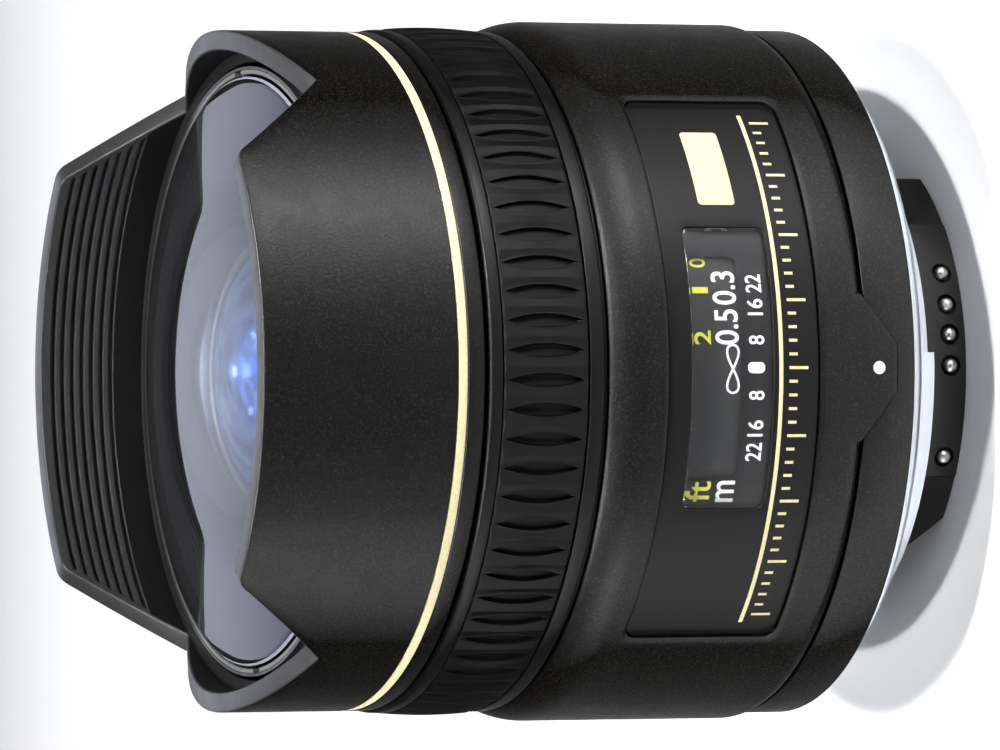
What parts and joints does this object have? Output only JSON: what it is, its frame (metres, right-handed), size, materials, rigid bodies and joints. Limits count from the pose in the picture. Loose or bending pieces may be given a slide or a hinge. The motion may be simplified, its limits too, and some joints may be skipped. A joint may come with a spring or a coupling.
{
  "type": "fisheye lens",
  "caption": "Fisheye camera lens: short black barrel with distance window, ribbed focus ring, domed front glass inside a petal hood, chromed bayonet mount with contacts.",
  "frame": {"origin": "centre of the bayonet mount's flange face, on the optical axis", "axes": "+Z along the optical axis towards the front glass, -Y towards the mounting index, +X a quarter turn on from the index, right-handed about +Z"},
  "size_m": [0.063, 0.063, 0.0707],
  "materials": {
    "body_black": "fine wrinkle, matt",
    "hood_black": "fine wrinkle outside, ribbed matt inside",
    "panel_black": "smooth satin",
    "grip_rubber": "moulded, matt",
    "gold_line": "satin",
    "window_clear": "clear, back-printed",
    "white_paint": "gloss",
    "mount_chrome": "polished, turned face",
    "screw_steel": "bright",
    "baffle_black": "moulded, matt",
    "contact_gold": "bright",
    "flex_amber": "film",
    "board_green": "satin",
    "anodised_black": "black anodised",
    "gear_brass": "machined",
    "optical_glass": "coated, polished",
    "blade_black": "blackened, matt"
  },
  "bodies": {
    "barrel": {"bayonet_mount": "mount_chrome", "mount_screws": "screw_steel", "rear_baffle": "baffle_black", "contact_block": "baffle_black", "contact_pins": "contact_gold", "contact_flex": "flex_amber", "circuit_board": "board_green", "rear_cover": "body_black", "main_barrel": "body_black", "name_panel": "panel_black", "scale_window": "window_clear", "mount_index_dot": "white_paint", "fixed_barrel": "anodised_black", "hood_barrel": "hood_black", "hood_set_screws": "screw_steel", "gold_ring": "gold_line", "focus_stop": "screw_steel", "af_bush": "gear_brass", "af_bearing_bracket": "gear_brass", "aperture_ring_retainer": "screw_steel", "aperture_spring": "screw_steel"},
    "focus_unit": {"focus_ring": "body_black", "focus_grip": "grip_rubber", "distance_drum": "anodised_black", "cam_ring": "anodised_black", "focus_gear": "gear_brass", "focus_ring_screws": "screw_steel"},
    "af_drive": {"af_coupling": "screw_steel", "af_pinion": "gear_brass"},
    "aperture_unit": {"aperture_ring": "screw_steel", "aperture_arm": "screw_steel"},
    "front_group": {"front_cell": "anodised_black", "front_element": "optical_glass", "front_retaining_ring": "anodised_black", "second_element": "optical_glass", "second_element_ring": "anodised_black", "inner_cell": "anodised_black", "front_doublet": "optical_glass", "inner_cell_ring": "anodised_black", "front_sleeve": "anodised_black", "front_cam_pins": "screw_steel", "iris_housing": "anodised_black", "iris_cover": "anodised_black"},
    "rear_group": {"rear_cell": "anodised_black", "rear_carrier": "anodised_black", "rear_cam_pins": "screw_steel", "stop_side_element": "optical_glass", "middle_doublet": "optical_glass", "rear_doublet": "optical_glass", "rear_element": "optical_glass", "filter_holder": "anodised_black", "rear_spacers": "anodised_black"},
    "iris_actuator": {"iris_ring": "gear_brass"},
    "blade_1": {"iris_blade_1": "blade_black"},
    "blade_2": {"iris_blade_2": "blade_black"},
    "blade_3": {"iris_blade_3": "blade_black"},
    "blade_4": {"iris_blade_4": "blade_black"},
    "blade_5": {"iris_blade_5": "blade_black"},
    "blade_6": {"iris_blade_6": "blade_black"},
    "blade_7": {"iris_blade_7": "blade_black"}
  },
  "joints": [
    {"name": "focus_turn", "type": "hinge", "parent": "barrel", "child": "focus_unit", "pos_m": [0, 0, 0.0363], "axis": [0, 0, -1], "range_deg": [0, 50]},
    {"name": "front_slide", "type": "slide", "parent": "barrel", "child": "front_group", "axis": [0, 0, 1], "range_m": [0, 0.0021]},
    {"name": "rear_slide", "type": "slide", "parent": "barrel", "child": "rear_group", "axis": [0, 0, 1], "range_m": [0, 0.00168]},
    {"name": "af_spin", "type": "hinge", "parent": "barrel", "child": "af_drive", "pos_m": [0.0181, 0.0181, 0], "axis": [0, 0, -1], "range_deg": [0, 690]},
    {"name": "aperture_turn", "type": "hinge", "parent": "barrel", "child": "aperture_unit", "pos_m": [0, 0, 0.00275], "axis": [0, 0, 1], "range_deg": [0, 14], "stiffness_Nm_per_rad": 0.01, "springref_deg": -11.46, "deforming": ["aperture_spring"]},
    {"name": "iris_turn", "type": "hinge", "parent": "front_group", "child": "iris_actuator", "pos_m": [0, 0, 0.02686], "axis": [0, 0, 1], "range_deg": [0, 14]},
    {"name": "blade_1_turn", "type": "hinge", "parent": "front_group", "child": "blade_1", "pos_m": [0, -0.0108, 0.02819], "axis": [0, 0, -1], "range_deg": [0, 23.5]},
    {"name": "blade_2_turn", "type": "hinge", "parent": "front_group", "child": "blade_2", "pos_m": [0.00844, -0.00673, 0.02805], "axis": [0, 0, -1], "range_deg": [0, 23.5]},
    {"name": "blade_3_turn", "type": "hinge", "parent": "front_group", "child": "blade_3", "pos_m": [0.01053, 0.0024, 0.02791], "axis": [0, 0, -1], "range_deg": [0, 23.5]},
    {"name": "blade_4_turn", "type": "hinge", "parent": "front_group", "child": "blade_4", "pos_m": [0.00469, 0.00973, 0.02777], "axis": [0, 0, -1], "range_deg": [0, 23.5]},
    {"name": "blade_5_turn", "type": "hinge", "parent": "front_group", "child": "blade_5", "pos_m": [-0.00469, 0.00973, 0.02763], "axis": [0, 0, -1], "range_deg": [0, 23.5]},
    {"name": "blade_6_turn", "type": "hinge", "parent": "front_group", "child": "blade_6", "pos_m": [-0.01053, 0.0024, 0.02749], "axis": [0, 0, -1], "range_deg": [0, 23.5]},
    {"name": "blade_7_turn", "type": "hinge", "parent": "front_group", "child": "blade_7", "pos_m": [-0.00844, -0.00673, 0.02735], "axis": [0, 0, -1], "range_deg": [0, 23.5]}
  ],
  "couplings": [
    {"joint": "focus_turn", "follows": "front_slide", "rad_per_m": 415.55},
    {"joint": "rear_slide", "follows": "front_slide", "ratio": 0.8},
    {"joint": "af_spin", "follows": "front_slide", "rad_per_m": 5734.7},
    {"joint": "iris_turn", "follows": "aperture_turn", "ratio": 1},
    {"joint": "blade_1_turn", "follows": "aperture_turn", "ratio": 1.6786},
    {"joint": "blade_2_turn", "follows": "aperture_turn", "ratio": 1.6786},
    {"joint": "blade_3_turn", "follows": "aperture_turn", "ratio": 1.6786},
    {"joint": "blade_4_turn", "follows": "aperture_turn", "ratio": 1.6786},
    {"joint": "blade_5_turn", "follows": "aperture_turn", "ratio": 1.6786},
    {"joint": "blade_6_turn", "follows": "aperture_turn", "ratio": 1.6786},
    {"joint": "blade_7_turn", "follows": "aperture_turn", "ratio": 1.6786}
  ]
}
